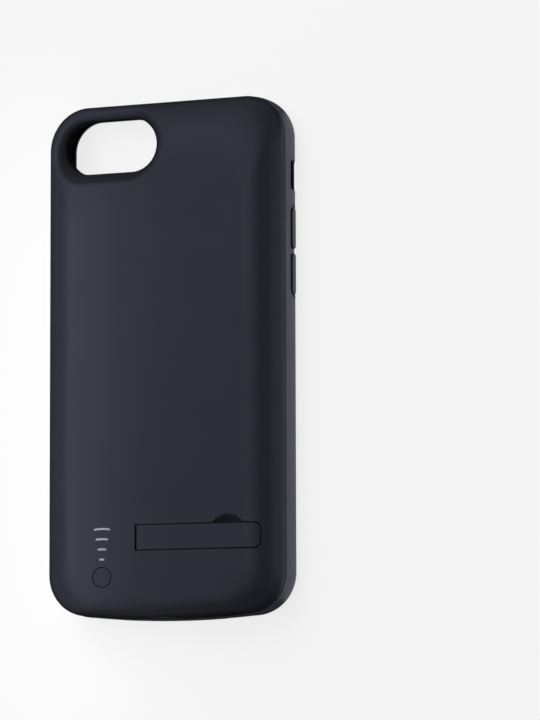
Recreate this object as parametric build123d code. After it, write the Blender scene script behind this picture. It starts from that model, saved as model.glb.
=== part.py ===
from build123d import *
import os
from math import radians, sin, sqrt

# Battery charging case for a slim phone, lying face down on its front lip.
# Millimetres. X runs across the case, Y towards the camera end and Z up to the crowned rear face.
# The origin lies under the middle of the case, in the plane of the front lip.

# The phone that the case is made for
PHONE_LENGTH = 138.4
PHONE_WIDTH = 67.3
PHONE_THICKNESS = 7.3
PHONE_CORNER = 9.5
PHONE_CLEARANCE = 0.1

# Bumper frame round the phone bay
SIDE_WALL = 2.25
TOP_WALL = 1.9
BOTTOM_WALL = 4.7
BOTTOM_BOW_RADIUS = 255.0
LIP_THICKNESS = 0.9
LIP_OVERLAP = 1.2
LIP_EDGE_ROUND = 0.25
LIP_FLAT = 0.3
CREST_HEIGHT = 4.5
FRONT_ROUND_POWER = 2.2
REAR_DRAFT = 0.35
PARTING_EDGE_ROUND = 0.2

# Tray between the phone bay and the battery space
TRAY_THICKNESS = 1.2
TRAY_FLANGE = 1.0
TRAY_FLANGE_THICKNESS = 0.7
TRAY_FIT = 0.1
TRAY_RIM_INSET = 0.6
TRAY_RIM_WALL = 0.8
TRAY_RIM_HEIGHT = 1.0
TRAY_WINDOW_ROUND = 0.3

# Crowned rear shell: how far each side sweeps in from the parting line to the flat rear face
SHELL_DEPTH = 8.5
SHELL_WALL = 1.4
SIDE_SWEEP = 9.7
SIDE_SWEEP_POWER = 1.95
TOP_SWEEP = 21.2
TOP_SWEEP_POWER = 2.3
BOTTOM_SWEEP = 7.0
BOTTOM_SWEEP_POWER = 3.5
SHADOW_GAP = 0.3
SHADOW_GAP_DEPTH = 0.45

# Camera window, a slot that flares out to the rear face
WINDOW_LENGTH = 28.2
WINDOW_WIDTH = 15.2
WINDOW_X = -16.1
WINDOW_FROM_TOP = 12.2
WINDOW_TUBE_WALL = 1.2
FLARE_DEPTH = 5.5
FLARE_REACH = 3.6
FLARE_POWER = 1.2
FLARE_OVERRUN = 1.1
FLARE_SECTIONS = 4
FLARE_EDGE_ROUND = 2.0

# Folding stand and its hinge
STAND_REACH = 35.6
STAND_WIDTH = 6.8
STAND_THICKNESS = 1.8
STAND_TIP_ROUND = 1.6
STAND_EDGE_ROUND = 0.2
STAND_SIDE_GAP = 0.2
STAND_HEEL_GAP = 0.45
STAND_FLOOR_GAP = 0.15
STAND_FROM_SIDE = 5.1
STAND_FROM_BOTTOM = 22.7
STAND_PIN_DIAMETER = 0.9
STAND_PIN_CLEARANCE = 0.05
STAND_PIN_SEAT = 1.2
WELL_FLOOR = 0.8
WELL_SIDE = 1.7
WELL_EDGE_ROUND = 0.15
SCOOP_RADIUS = 5.95
SCOOP_DEPTH = 2.6
SCOOP_FROM_TIP = 9.0

# Charge lights above the power button
LIGHT_X = -16.1
LIGHT_COUNT = 4
LIGHT_LONGEST = 4.95
LIGHT_STEP = 1.13
LIGHT_WIDTH = 0.55
LIGHT_PITCH = 2.79
LIGHT_ARC_RADIUS = 14.0
LIGHT_FIT = 0.05
LIGHT_WEB = 0.8
LIGHT_WEB_MARGIN = 0.7
LIGHT_POST_DIAMETER = 1.2
LIGHT_POST_GAP = 0.2
LED_LENGTH = 1.6
LED_WIDTH = 0.8
LED_HEIGHT = 0.6

# Power button and the switch under it
BUTTON_FROM_BOTTOM = 11.92
BUTTON_FROM_LIGHT = 4.95
BUTTON_DIAMETER = 5.4
BUTTON_GAP = 0.15
BUTTON_FLANGE = 0.6
BUTTON_FLANGE_THICKNESS = 0.7
BUTTON_STEM_DIAMETER = 3.0
BUTTON_TRAVEL = 0.3
SWITCH_SIZE = 4.6
SWITCH_HEIGHT = 1.9
PLUNGER_DIAMETER = 2.0
PLUNGER_CLEARANCE = 0.08
PLUNGER_RISE = 0.7
PLUNGER_DEPTH = 0.5
SEAT_GAP = 0.05

# Key covers on the long walls
KEY_HEIGHT = 3.5
KEY_CENTRE_Z = 3.35
KEY_PROUD = 0.2
KEY_MOAT = 0.9
KEY_MOAT_DEPTH = 0.5
KEY_GAP = 0.12
KEY_FLANGE = 0.3
KEY_FLANGE_THICKNESS = 0.4
KEY_TRAVEL = 0.35
KEY_EDGE_ROUND = 0.35
KEY_MOAT_ROUND = 0.15
VOLUME_KEY_LENGTH = 11.5
VOLUME_KEY_PITCH = 12.8
VOLUME_FROM_TOP = 43.6
SIDE_KEY_LENGTH = 12.0
SIDE_KEY_FROM_TOP = 37.0
MUTE_SLOT_LENGTH = 8.4
MUTE_SLOT_HEIGHT = 4.6
MUTE_SLOT_ROUND = 1.0
MUTE_SLOT_EDGE_ROUND = 0.3
MUTE_SLOT_FROM_TOP = 22.4

# Sound slots in the bottom wall
SOUND_SLOT_LENGTH = 10.0
SOUND_SLOT_HEIGHT = 3.0
SOUND_SLOT_X = 20.0
SOUND_SLOT_EDGE_ROUND = 0.2

# Battery cell and what holds it
CELL_SIDE_MARGIN = 9.5
CELL_WINDOW_GAP = 1.2
CELL_EDGE_ROUND = 1.4
CELL_CORNER = 2.5
TAPE_THICKNESS = 0.2
TAPE_MARGIN = 4.0
FOAM_THICKNESS = 0.8
FOAM_MARGIN = 10.0
CELL_BOARD_WIDTH = 3.4
CELL_BOARD_LENGTH = 38.0
CELL_BOARD_GAP = 0.3
LEAD_DIAMETER = 1.1
LEAD_SPACING = 7.0
LEAD_RUN = 1.6

# Main board and its parts
BOARD_LENGTH = 21.0
BOARD_WIDTH = 54.0
BOARD_TONGUE_LENGTH = 4.5
BOARD_TONGUE_WIDTH = 14.0
BOARD_CORNER = 2.0
BOARD_THICKNESS = 1.0
BOARD_STANDOFF = 0.4
BOARD_BOSS_DIAMETER = 3.0
BOARD_BOSS_INSET = 3.0
PORT_WIDTH = 8.6
PORT_HEIGHT = 3.0
PORT_LENGTH = 7.6
PORT_SHEET = 0.3
PORT_FIT = 0.15
PORT_RECESS = 0.5
PORT_CORNER = 1.05
PORT_MOUTH_ROUND = 0.3
PORT_TONGUE_WIDTH = 6.4
PORT_TONGUE_THICKNESS = 0.7
PORT_TONGUE_SETBACK = 1.0
CONTROLLER_SIZE = 5.0
CONTROLLER_HEIGHT = 0.9
INDUCTOR_DIAMETER = 6.0
INDUCTOR_HEIGHT = 3.0
INDUCTOR_FLANGE = 0.6
INDUCTOR_WAIST = 1.0
CAPACITOR_COUNT = 4
CAPACITOR_LENGTH = 3.2
CAPACITOR_WIDTH = 1.6
CAPACITOR_PITCH = 2.6
INDUCTOR_FROM_EDGE = 9.0
CONTROLLER_FROM_EDGE = 19.0
CAPACITORS_FROM_EDGE = 29.0

# Plug in the phone bay and the block that carries it
PLUG_WIDTH = 6.7
PLUG_THICKNESS = 1.5
PLUG_REACH = 6.65
PLUG_TIP_ROUND = 0.4
CONTACT_COUNT = 8
CONTACT_PITCH = 0.64
CONTACT_WIDTH = 0.4
CONTACT_LENGTH = 2.6
CONTACT_SETBACK = 1.2
CONTACT_THICKNESS = 0.1
HOLDER_WIDTH = 22.0
HOLDER_HEIGHT = 6.3
HOLDER_FIT = 0.1
HOLDER_EDGE_ROUND = 0.3
PLUG_BOARD_WIDTH = 10.0
PLUG_BOARD_THICKNESS = 0.8
PLUG_BOARD_DROP = 0.6
PLUG_BOARD_GAP = 0.3

# Heights that follow from the stack: lip, phone, tray, shell
TRAY_FRONT_Z = LIP_THICKNESS + PHONE_THICKNESS + PHONE_CLEARANCE
PARTING_Z = TRAY_FRONT_Z + TRAY_FLANGE_THICKNESS
TRAY_REAR_Z = TRAY_FRONT_Z + TRAY_THICKNESS
REAR_Z = PARTING_Z + SHELL_DEPTH
SHELL_INSIDE_Z = REAR_Z - SHELL_WALL
BOARD_TOP_Z = TRAY_REAR_Z + BOARD_STANDOFF + BOARD_THICKNESS
SWITCH_TOP_Z = BOARD_TOP_Z + SWITCH_HEIGHT
PORT_Z = BOARD_TOP_Z + PORT_HEIGHT / 2
HOLDER_FRONT_Z = TRAY_FRONT_Z - HOLDER_HEIGHT
CELL_BOTTOM_Z = TRAY_REAR_Z + TAPE_THICKNESS
CELL_TOP_Z = SHELL_INSIDE_Z - FOAM_THICKNESS
PHONE_MIDDLE_Z = LIP_THICKNESS + PHONE_THICKNESS / 2

# Plan sizes that follow from the phone and the walls round it
BAY_LENGTH = PHONE_LENGTH + 2 * PHONE_CLEARANCE
BAY_WIDTH = PHONE_WIDTH + 2 * PHONE_CLEARANCE
BAY_CORNER = PHONE_CORNER + PHONE_CLEARANCE
CASE_LENGTH = BAY_LENGTH + TOP_WALL + BOTTOM_WALL
HALF_LENGTH = CASE_LENGTH / 2
HALF_WIDTH = BAY_WIDTH / 2 + SIDE_WALL
CASE_CORNER = BAY_CORNER + SIDE_WALL
BAY_TOP = HALF_LENGTH - TOP_WALL
BAY_LOW_Y = BOTTOM_WALL - HALF_LENGTH
BAY_Y = (BAY_TOP + BAY_LOW_Y) / 2
LIP_HOLE_INSET = TOP_WALL + LIP_OVERLAP
FRONT_ROUND = LIP_HOLE_INSET - LIP_EDGE_ROUND - LIP_FLAT
SHELL_INSIDE_INSET = REAR_DRAFT + SHELL_WALL
PLUG_BOARD_LOW_Y = SHELL_INSIDE_INSET + PLUG_BOARD_GAP - HALF_LENGTH
PLUG_BOARD_HIGH_Y = PLUG_BOARD_LOW_Y + PLUG_BOARD_THICKNESS
BOARD_LOW_Y = PLUG_BOARD_HIGH_Y + BOARD_TONGUE_LENGTH
BOARD_HIGH_Y = BOARD_LOW_Y + BOARD_LENGTH
BOARD_MIDDLE_Y = (BOARD_LOW_Y + BOARD_HIGH_Y) / 2
INDUCTOR_X = BOARD_WIDTH / 2 - INDUCTOR_FROM_EDGE
CONTROLLER_X = BOARD_WIDTH / 2 - CONTROLLER_FROM_EDGE
CAPACITORS_X = BOARD_WIDTH / 2 - CAPACITORS_FROM_EDGE
CELL_BOARD_LOW_Y = BOARD_HIGH_Y + LEAD_RUN
CELL_LOW_Y = CELL_BOARD_LOW_Y + CELL_BOARD_WIDTH + CELL_BOARD_GAP
WINDOW_Y = HALF_LENGTH - WINDOW_FROM_TOP
CELL_HIGH_Y = WINDOW_Y - WINDOW_WIDTH / 2 - FLARE_REACH - WINDOW_TUBE_WALL - CELL_WINDOW_GAP
CELL_LENGTH = CELL_HIGH_Y - CELL_LOW_Y
CELL_Y = (CELL_HIGH_Y + CELL_LOW_Y) / 2
CELL_WIDTH = 2 * (HALF_WIDTH - CELL_SIDE_MARGIN)
STAND_Y = STAND_FROM_BOTTOM - HALF_LENGTH
STAND_TIP_X = HALF_WIDTH - STAND_FROM_SIDE
STAND_HINGE_X = STAND_TIP_X - STAND_REACH
SCOOP_X = STAND_TIP_X - SCOOP_FROM_TIP
STAND_PIN_Z = REAR_Z - STAND_THICKNESS / 2
WELL_DEPTH = STAND_THICKNESS + STAND_FLOOR_GAP
BUTTON_Y = BUTTON_FROM_BOTTOM - HALF_LENGTH
PORT_MOUTH_Y = PORT_RECESS + REAR_DRAFT - HALF_LENGTH
PORT_BACK_Y = PORT_MOUTH_Y + PORT_LENGTH
VOLUME_Y = HALF_LENGTH - VOLUME_FROM_TOP
MUTE_SLOT_Y = HALF_LENGTH - MUTE_SLOT_FROM_TOP
SIDE_KEY_Y = HALF_LENGTH - SIDE_KEY_FROM_TOP

# Angles at which the crowned walls are cut into sections, closer together where they turn flat
SHELL_SECTION_ANGLES = (0, 14, 28, 40, 52, 62, 71, 78, 84, 88, 90)
FRONT_SECTION_ANGLES = (90, 84, 74, 60, 45, 30, 15)
REAR_SECTION_STEPS = (0.0, 0.25, 0.5, 0.75, 1.0)
PAST = 4.0
EDGE_MARGIN = 0.1
ON_SKIN = 0.01


def swept_in(rise, reach, power):
    """How far a crowned wall has come in when it has risen by this share of its height."""
    return reach * (1 - max(0.0, 1 - rise**power) ** (1 / power))


def case_outline(inset_side, inset_top, inset_bottom, corner, height):
    """Plan of the case: straight sides and top, a bottom edge that bows out, rounded corners."""
    half_width = HALF_WIDTH - inset_side
    top = HALF_LENGTH - inset_top
    bottom = HALF_LENGTH - inset_bottom
    foot = bottom - BOTTOM_BOW_RADIUS + sqrt(BOTTOM_BOW_RADIUS**2 - half_width**2)
    sides = Polyline((half_width, -foot), (half_width, top), (-half_width, top), (-half_width, -foot))
    bow = ThreePointArc((-half_width, -foot), (0, -bottom), (half_width, -foot))
    plan = make_face(sides + bow)
    return Pos(0, 0, height) * fillet(plan.vertices(), corner)


def rear_form(depth=0.0):
    """The crowned rear half as a solid, drawn in from its outside by a depth."""
    sections = []
    for angle in SHELL_SECTION_ANGLES:
        rise = sin(radians(angle))
        inset = REAR_DRAFT + depth
        sections.append(
            case_outline(
                inset + swept_in(rise, SIDE_SWEEP, SIDE_SWEEP_POWER),
                inset + swept_in(rise, TOP_SWEEP, TOP_SWEEP_POWER),
                inset + swept_in(rise, BOTTOM_SWEEP, BOTTOM_SWEEP_POWER),
                CASE_CORNER - inset,
                PARTING_Z + (SHELL_DEPTH - depth) * rise,
            )
        )
    return loft(sections)


def bumper_form(depth=0.0):
    """The bumper's outside as a solid: rounded to the front, widest at its crest, drawn in behind."""
    sections = []
    for angle in FRONT_SECTION_ANGLES:
        drop = sin(radians(angle))
        inset = depth + swept_in(drop, FRONT_ROUND, FRONT_ROUND_POWER)
        sections.append(case_outline(inset, inset, inset, CASE_CORNER - inset, CREST_HEIGHT * (1 - drop)))
    for step in REAR_SECTION_STEPS:
        inset = depth + REAR_DRAFT * step**2
        height = CREST_HEIGHT + (PARTING_Z - CREST_HEIGHT) * step
        sections.append(case_outline(inset, inset, inset, CASE_CORNER - inset, height))
    return loft(sections)


def bay_outline(grow, height):
    """Plan of the phone bay, grown or shrunk all round."""
    plan = RectangleRounded(BAY_WIDTH + 2 * grow, BAY_LENGTH + 2 * grow, BAY_CORNER + grow)
    return Pos(0, BAY_Y, height) * plan


def block(low, high):
    """A box between two corners."""
    size = [high[i] - low[i] for i in range(3)]
    return Pos(*low) * Box(*size, align=(Align.MIN, Align.MIN, Align.MIN))


def edges_between(solid, low, high):
    """The edges of a solid that lie wholly between two corners."""
    found = []
    for edge in solid.edges():
        box = edge.bounding_box()
        above = all(start > limit for start, limit in zip(box.min, low))
        below = all(end < limit for end, limit in zip(box.max, high))
        if above and below:
            found.append(edge)
    return found


def rim_edges(solid, form, cutter):
    """The edges of a solid where the walls of a cut meet the skin of a form."""
    skin = form.shell()
    walls = cutter.shell()
    rim = ShapeList()
    for edge in solid.edges():
        middle = edge @ 0.5
        if walls.distance_to(middle) < ON_SKIN and skin.distance_to(middle) < ON_SKIN:
            rim.append(edge)
    return rim


def across_wall(profile, centre_y, centre_z, start_x, end_x):
    """A profile drawn in Y and Z, run along X from one place to another."""
    wall_plane = Plane(origin=(start_x, centre_y, centre_z), x_dir=(0, 1, 0), z_dir=(1, 0, 0))
    return extrude(wall_plane * profile, end_x - start_x)


def side_prism(profile, start_y, end_y, height):
    """A profile drawn in X and Z, run along Y from one place to another."""
    end_plane = Plane(origin=(0, start_y, height), x_dir=(1, 0, 0), z_dir=(0, -1, 0))
    return extrude(end_plane * profile, start_y - end_y)


def window_slot(grow, height):
    """The camera window's outline, grown all round."""
    return Pos(WINDOW_X, WINDOW_Y, height) * SlotOverall(WINDOW_LENGTH + 2 * grow, WINDOW_WIDTH + 2 * grow)


def flare(wall):
    """The window's flare as a solid, thickened by a wall."""
    sections = []
    for step in range(FLARE_SECTIONS):
        rise = FLARE_OVERRUN * step / (FLARE_SECTIONS - 1)
        height = REAR_Z - FLARE_DEPTH * (1 - rise)
        sections.append(window_slot(FLARE_REACH * rise**FLARE_POWER + wall, height))
    return loft(sections)


def stand_outline(gap, heel_gap):
    """Plan of the folding stand, from its heel to its round-cornered tip, grown by a gap."""
    heel_x = STAND_HINGE_X - STAND_THICKNESS / 2 - heel_gap
    tip_x = STAND_TIP_X + gap
    half = STAND_WIDTH / 2 + gap
    plan = Pos((heel_x + tip_x) / 2, STAND_Y) * Rectangle(tip_x - heel_x, 2 * half)
    tip_corners = plan.vertices().group_by(Axis.X)[-1]
    return fillet(tip_corners, STAND_TIP_ROUND)


def scoop_outline():
    """Half-moon for a fingertip, on the camera side of the stand."""
    arch = ThreePointArc((-SCOOP_RADIUS, 0), (0, SCOOP_RADIUS), (SCOOP_RADIUS, 0))
    base = Line((SCOOP_RADIUS, 0), (-SCOOP_RADIUS, 0))
    return Pos(SCOOP_X, STAND_Y) * make_face(arch + base)


def scoop_dish():
    """The ball that hollows out the half-moon, deepest beside the stand."""
    ball_radius = (SCOOP_RADIUS**2 + SCOOP_DEPTH**2) / (2 * SCOOP_DEPTH)
    ball = Pos(SCOOP_X, STAND_Y, REAR_Z - SCOOP_DEPTH + ball_radius) * Sphere(ball_radius)
    reach = SCOOP_RADIUS + PAST
    low = (SCOOP_X - reach, STAND_Y, REAR_Z - SCOOP_DEPTH - PAST)
    high = (SCOOP_X + reach, STAND_Y + reach, REAR_Z + PAST)
    return ball & block(low, high)


def light_bars(grow):
    """Plan of the charge lights: arched bars that shorten towards the button."""
    bars = []
    for index in range(LIGHT_COUNT):
        y = light_y(index)
        half = (LIGHT_LONGEST - LIGHT_STEP * index - LIGHT_WIDTH) / 2
        sag = LIGHT_ARC_RADIUS - sqrt(LIGHT_ARC_RADIUS**2 - half**2)
        line = ThreePointArc((-half, -sag / 2), (0, sag / 2), (half, -sag / 2))
        bars.append(Pos(LIGHT_X, y) * SlotArc(line, LIGHT_WIDTH + 2 * grow))
    return bars


def light_y(index):
    """Place of a charge light along the case."""
    return BUTTON_Y + BUTTON_FROM_LIGHT + LIGHT_PITCH * (LIGHT_COUNT - 1 - index)


def pin_along_y(radius, length):
    """A round pin on the stand's hinge axis."""
    return Pos(STAND_HINGE_X, STAND_Y, STAND_PIN_Z) * Rot(90, 0, 0) * Cylinder(radius, length)


def port_profile(grow):
    """Round-cornered section of the charging socket."""
    return RectangleRounded(PORT_WIDTH + 2 * grow, PORT_HEIGHT + 2 * grow, PORT_CORNER + grow)


def flared_rear():
    """The rear form with the camera window through it and the window's flare rounded into it."""
    form = rear_form() - extrude(window_slot(0, PARTING_Z - PAST), SHELL_DEPTH + 2 * PAST) - flare(0)
    reach_x = WINDOW_LENGTH / 2 + FLARE_REACH + EDGE_MARGIN
    reach_y = WINDOW_WIDTH / 2 + FLARE_REACH + EDGE_MARGIN
    low = (WINDOW_X - reach_x, WINDOW_Y - reach_y, REAR_Z - FLARE_DEPTH + EDGE_MARGIN)
    high = (WINDOW_X + reach_x, WINDOW_Y + reach_y, REAR_Z + EDGE_MARGIN)
    return fillet(edges_between(form, low, high), FLARE_EDGE_ROUND)


def shell_cavity(well_plan):
    """The space in the rear shell, less the walls round the window and the stand's well."""
    cavity = rear_form(SHELL_WALL)
    cavity -= extrude(window_slot(WINDOW_TUBE_WALL, TRAY_REAR_Z), SHELL_DEPTH)
    cavity -= flare(WINDOW_TUBE_WALL)
    housing_plan = offset(well_plan, WELL_SIDE) + offset(scoop_outline(), WELL_FLOOR)
    housing_low = TRAY_REAR_Z + TRAY_RIM_HEIGHT + SEAT_GAP
    housing = Pos(0, 0, housing_low) * extrude(housing_plan, SHELL_DEPTH)
    return cavity - (housing - rear_form(WELL_DEPTH + WELL_FLOOR))


def make_rear_shell():
    well_plan = stand_outline(STAND_SIDE_GAP, STAND_HEEL_GAP)
    shell = flared_rear() - shell_cavity(well_plan)
    outside = rear_form()

    well = Pos(0, 0, PARTING_Z) * extrude(well_plan, SHELL_DEPTH + PAST) + scoop_dish()
    button_hole = Pos(LIGHT_X, BUTTON_Y, REAR_Z) * Cylinder(BUTTON_DIAMETER / 2 + BUTTON_GAP, 2 * PAST)
    shell -= well - rear_form(WELL_DEPTH)
    shell -= button_hole
    rims = rim_edges(shell, outside, well) + rim_edges(shell, outside, button_hole)
    shell = fillet(rims, WELL_EDGE_ROUND) - make_stand_pin()
    for bar in light_bars(LIGHT_FIT):
        shell -= Pos(0, 0, REAR_Z - PAST) * extrude(bar, 2 * PAST)

    port_hole = side_prism(port_profile(PORT_FIT), -HALF_LENGTH + PAST, -HALF_LENGTH - PAST, PORT_Z)
    shell -= port_hole
    shell = fillet(rim_edges(shell, outside, port_hole), PORT_MOUTH_ROUND)

    inset = REAR_DRAFT + SHADOW_GAP_DEPTH
    gap_plan = case_outline(-PAST, -PAST, -PAST, CASE_CORNER, PARTING_Z)
    gap_plan -= case_outline(inset, inset, inset, CASE_CORNER - inset, PARTING_Z)
    shadow_gap = extrude(gap_plan, SHADOW_GAP)
    shell -= shadow_gap
    lowest_outside = rim_edges(shell, outside, shadow_gap).group_by(Axis.Z)[-1]
    return fillet(lowest_outside, PARTING_EDGE_ROUND)


def key_stem(length, grow, centre_y, start_x, end_x):
    """A key cover's round-ended section on the right wall, grown all round."""
    profile = SlotOverall(length + 2 * grow, KEY_HEIGHT + 2 * grow)
    return across_wall(profile, centre_y, KEY_CENTRE_Z, start_x, end_x)


def key_opening(length, centre_y):
    """What a key cover's stem and flange need cut out of the right wall."""
    bay_wall = BAY_WIDTH / 2
    pocket_depth = KEY_FLANGE_THICKNESS + KEY_TRAVEL + 2 * SEAT_GAP
    stem = key_stem(length, KEY_GAP, centre_y, bay_wall - PAST, HALF_WIDTH + PAST)
    pocket = key_stem(length, KEY_FLANGE + KEY_GAP, centre_y, bay_wall - PAST, bay_wall + pocket_depth)
    return stem + pocket


def key_moat(length, centre_y):
    """Shallow recess round the key covers that follows the wall's crown."""
    recess = key_stem(length, KEY_MOAT, centre_y, BAY_WIDTH / 2, HALF_WIDTH + PAST)
    return recess - bumper_form(KEY_MOAT_DEPTH)


def make_key_cover(length, centre_y):
    """Key cover on the right wall, with a flange behind the wall that keeps it in."""
    inner_x = BAY_WIDTH / 2 + KEY_TRAVEL + SEAT_GAP
    outside = bumper_form(-KEY_PROUD)
    bar = key_stem(length, 0, centre_y, inner_x, HALF_WIDTH + PAST)
    stem = bar & outside
    stem = fillet(rim_edges(stem, outside, bar), KEY_EDGE_ROUND)
    return stem + key_stem(length, KEY_FLANGE, centre_y, inner_x, inner_x + KEY_FLANGE_THICKNESS)


def on_left_wall(solid):
    return mirror(solid, about=Plane.YZ)


def lip_edges(frame, height):
    """The edges of the lip's opening at a height."""
    half_width = BAY_WIDTH / 2 - LIP_OVERLAP + EDGE_MARGIN
    half_length = BAY_LENGTH / 2 - LIP_OVERLAP + EDGE_MARGIN
    low = (-half_width, BAY_Y - half_length, height - EDGE_MARGIN)
    return edges_between(frame, low, (half_width, BAY_Y + half_length, height + EDGE_MARGIN))


def wall_cuts():
    """The key recesses, the mute slot and the sound slots as solids, each with the round of its rim."""
    mute_slot = RectangleRounded(MUTE_SLOT_LENGTH, MUTE_SLOT_HEIGHT, MUTE_SLOT_ROUND)
    mute_cut = across_wall(mute_slot, MUTE_SLOT_Y, KEY_CENTRE_Z, BAY_WIDTH / 2 - PAST, HALF_WIDTH + PAST)
    cuts = [
        (key_moat(VOLUME_KEY_LENGTH + VOLUME_KEY_PITCH, VOLUME_Y), KEY_MOAT_ROUND),
        (on_left_wall(key_moat(SIDE_KEY_LENGTH, SIDE_KEY_Y)), KEY_MOAT_ROUND),
        (mute_cut, MUTE_SLOT_EDGE_ROUND),
    ]
    for side in (-1, 1):
        sound_slot = Pos(side * SOUND_SLOT_X, 0) * SlotOverall(SOUND_SLOT_LENGTH, SOUND_SLOT_HEIGHT)
        sound_cut = side_prism(sound_slot, BAY_LOW_Y + PAST, -HALF_LENGTH - PAST, PHONE_MIDDLE_Z)
        cuts.append((sound_cut, SOUND_SLOT_EDGE_ROUND))
    return cuts


def make_bumper_frame():
    outside = bumper_form()
    frame = fillet(outside.faces().sort_by(Axis.Z)[-1].edges(), PARTING_EDGE_ROUND)
    frame -= extrude(bay_outline(0, LIP_THICKNESS), PARTING_Z)
    frame -= extrude(bay_outline(-LIP_OVERLAP, -PAST), PARTING_Z)
    frame = fillet(lip_edges(frame, 0) + lip_edges(frame, LIP_THICKNESS), LIP_EDGE_ROUND)
    frame -= extrude(bay_outline(TRAY_FLANGE, TRAY_FRONT_Z), PARTING_Z)

    for wall_cut, edge_round in wall_cuts():
        frame -= wall_cut
        frame = fillet(rim_edges(frame, outside, wall_cut), edge_round)
    frame -= key_opening(VOLUME_KEY_LENGTH, VOLUME_Y + VOLUME_KEY_PITCH / 2)
    frame -= key_opening(VOLUME_KEY_LENGTH, VOLUME_Y - VOLUME_KEY_PITCH / 2)
    frame -= on_left_wall(key_opening(SIDE_KEY_LENGTH, SIDE_KEY_Y))

    notch_half = HOLDER_WIDTH / 2 + HOLDER_FIT
    notch_low = (-notch_half, PLUG_BOARD_LOW_Y - HOLDER_FIT, HOLDER_FRONT_Z)
    return frame - block(notch_low, (notch_half, BAY_LOW_Y + PAST, PARTING_Z + PAST))


def tray_plan(inset, height):
    """Plan of the tray's raised plate, which stands inside the rear shell."""
    half_width = HALF_WIDTH - SHELL_INSIDE_INSET - TRAY_RIM_INSET - inset
    top = HALF_LENGTH - SHELL_INSIDE_INSET - TRAY_RIM_INSET - inset
    low = BAY_LOW_Y + inset
    corner = CASE_CORNER - SHELL_INSIDE_INSET - TRAY_RIM_INSET - inset
    return Pos(0, (top + low) / 2, height) * RectangleRounded(2 * half_width, top - low, corner)


def board_corners():
    """Places of the bosses under the main board."""
    x = BOARD_WIDTH / 2 - BOARD_BOSS_INSET
    rows = (BOARD_LOW_Y + BOARD_BOSS_INSET, BOARD_HIGH_Y - BOARD_BOSS_INSET)
    return [(side * x, y) for side in (-1, 1) for y in rows]


def make_inner_tray():
    tray = extrude(bay_outline(TRAY_FLANGE - TRAY_FIT, TRAY_FRONT_Z), TRAY_FLANGE_THICKNESS)
    tray += extrude(tray_plan(0, TRAY_FRONT_Z), TRAY_THICKNESS)
    tray += extrude(tray_plan(0, TRAY_REAR_Z) - tray_plan(TRAY_RIM_WALL, TRAY_REAR_Z), TRAY_RIM_HEIGHT)
    gap_half = BOARD_TONGUE_WIDTH / 2 + TRAY_RIM_WALL
    tray -= block((-gap_half, BAY_LOW_Y - PAST, TRAY_REAR_Z), (gap_half, BOARD_LOW_Y, TRAY_REAR_Z + PAST))
    for x, y in board_corners():
        boss = Pos(x, y, TRAY_REAR_Z) * Circle(BOARD_BOSS_DIAMETER / 2)
        tray += extrude(boss, BOARD_STANDOFF)
    tray -= extrude(window_slot(0, TRAY_FRONT_Z - PAST), TRAY_THICKNESS + 2 * PAST)
    low = (WINDOW_X - WINDOW_LENGTH, WINDOW_Y - WINDOW_WIDTH / 2 - EDGE_MARGIN, TRAY_FRONT_Z - EDGE_MARGIN)
    high = (WINDOW_X + WINDOW_LENGTH, WINDOW_Y + WINDOW_WIDTH / 2 + EDGE_MARGIN, TRAY_FRONT_Z + EDGE_MARGIN)
    return fillet(edges_between(tray, low, high), TRAY_WINDOW_ROUND)


def heel_section():
    """Section of the stand behind its hinge: square at the skin and round below, to turn in the well."""
    half = STAND_THICKNESS / 2
    shoulder = Polyline((0, -half), (0, half), (-half, half), (-half, 0))
    underside = CenterArc((0, 0), half, 180, 90)
    return make_face(shoulder + underside)


def make_kickstand():
    outline = stand_outline(0, 0)
    past_heel = Pos(STAND_TIP_X, STAND_Y) * Rectangle(2 * STAND_REACH, 2 * STAND_WIDTH)
    strip = Pos(0, 0, PARTING_Z) * extrude(outline, SHELL_DEPTH + PAST)
    plate = Pos(0, 0, PARTING_Z) * extrude(outline & past_heel, SHELL_DEPTH + PAST)
    outside = rear_form()
    stand = (plate & outside) - rear_form(STAND_THICKNESS)
    heel_plan = Pos(STAND_HINGE_X, 0) * heel_section()
    stand += side_prism(heel_plan, STAND_Y + STAND_WIDTH / 2, STAND_Y - STAND_WIDTH / 2, STAND_PIN_Z)
    stand = fillet(rim_edges(stand, outside, strip), STAND_EDGE_ROUND)
    return stand - pin_along_y(STAND_PIN_DIAMETER / 2 + STAND_PIN_CLEARANCE, STAND_WIDTH + PAST)


def make_stand_pin():
    return pin_along_y(STAND_PIN_DIAMETER / 2, STAND_WIDTH + 2 * (STAND_SIDE_GAP + STAND_PIN_SEAT))


def round_bar(x, y, diameter, low_z, high_z):
    """An upright round bar between two heights."""
    return Pos(x, y, low_z) * extrude(Circle(diameter / 2), high_z - low_z)


def make_power_button():
    flange_top = SHELL_INSIDE_Z - SEAT_GAP
    flange_diameter = BUTTON_DIAMETER + 2 * (BUTTON_GAP + BUTTON_FLANGE)
    cap = round_bar(LIGHT_X, BUTTON_Y, BUTTON_DIAMETER, flange_top, REAR_Z)
    cap = fillet(cap.edges().group_by(Axis.Z)[-1], BUTTON_GAP)
    cap += round_bar(LIGHT_X, BUTTON_Y, flange_diameter, flange_top - BUTTON_FLANGE_THICKNESS, flange_top)
    stem_low = SWITCH_TOP_Z + PLUNGER_RISE
    return cap + round_bar(LIGHT_X, BUTTON_Y, BUTTON_STEM_DIAMETER, stem_low, flange_top)


def make_switch_plunger():
    low_z = SWITCH_TOP_Z - PLUNGER_DEPTH
    return round_bar(LIGHT_X, BUTTON_Y, PLUNGER_DIAMETER, low_z, SWITCH_TOP_Z + PLUNGER_RISE)


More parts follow.
